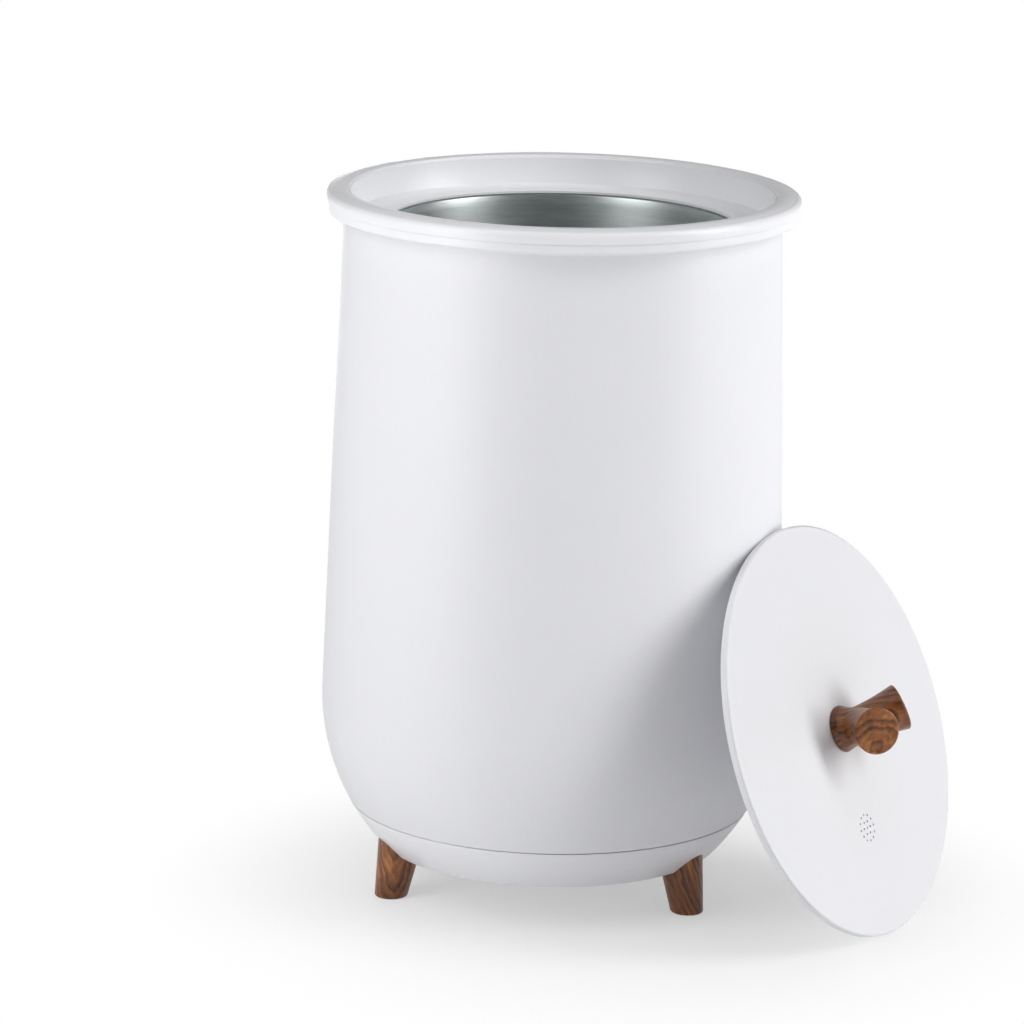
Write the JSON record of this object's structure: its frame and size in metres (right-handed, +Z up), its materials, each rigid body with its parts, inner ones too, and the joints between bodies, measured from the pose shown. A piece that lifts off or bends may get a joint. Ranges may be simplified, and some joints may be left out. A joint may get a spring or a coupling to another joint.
{
  "type": "towel warmer bucket",
  "caption": "Heated towel bucket: tapered white body with a metal pot, wooden peg feet, a panel of buttons and lights, and a round lid with a wooden handle leaning beside it.",
  "frame": {"origin": "on the floor, on the body's axis, at the centre of the circle on which the feet stand", "axes": "+Z up along the body's axis; -Y out of the control panel's side; +X to the right when facing the panel"},
  "size_m": [0.3739, 0.4385, 0.5135],
  "materials": {
    "shell_white": "satin moulded",
    "trim_white": "gloss moulded",
    "lid_white": "satin moulded",
    "pot_metal": "brushed round",
    "walnut": "oiled, turned",
    "button_grey": "satin",
    "light_pipe": "clear lens",
    "silicone": "matt",
    "gland_rubber": "matt",
    "felt": "needled felt",
    "heater_film": "silicone rubber film",
    "steel": "zinc plated",
    "board_green": "solder mask",
    "black_plastic": "moulded"
  },
  "bodies": {
    "bucket": {"outer_shell": "shell_white", "rim_ring": "trim_white", "rim_collar": "trim_white", "rim_screws": "steel", "inner_pot": "pot_metal", "pot_gasket": "silicone", "heating_band": "heater_film", "insulation_sleeve": "felt", "pot_support": "steel", "pot_pad": "silicone", "thermostat": "black_plastic", "thermal_fuse": "black_plastic", "fuse_clip": "steel", "base_ring": "trim_white", "bottom_plate": "trim_white", "bottom_plate_screws": "steel", "foot_bolts": "steel", "foot_washers": "steel", "control_board": "board_green", "tact_switches": "black_plastic", "board_screws": "steel", "time_leds": "light_pipe", "heat_leds": "light_pipe", "cord_gland": "gland_rubber", "foot_1": "walnut", "foot_2": "walnut", "foot_3": "walnut"},
    "lid": {"lid_panel": "lid_white", "lid_liner": "lid_white", "lid_seal": "silicone", "lid_screws": "steel", "scent_holder": "lid_white", "handle_stem": "walnut", "handle_bar": "walnut", "handle_screw": "steel", "handle_washer": "steel"},
    "temperature_button": {"temperature_button": "button_grey"},
    "power_button": {"power_button": "button_grey"}
  },
  "joints": [
    {"name": "lid_lift", "type": "slide", "parent": "bucket", "child": "lid", "axis": [-0.0932, 0.9333, 0.3469], "range_m": [0, 0.25]},
    {"name": "temperature_press", "type": "slide", "parent": "bucket", "child": "temperature_button", "axis": [0, 0.8115, 0.5844], "range_m": [0, 0.0008], "stiffness_N_per_m": 400, "springref_m": -0.0005},
    {"name": "power_press", "type": "slide", "parent": "bucket", "child": "power_button", "axis": [0, 0.8115, 0.5844], "range_m": [0, 0.0008], "stiffness_N_per_m": 400, "springref_m": -0.0005}
  ]
}
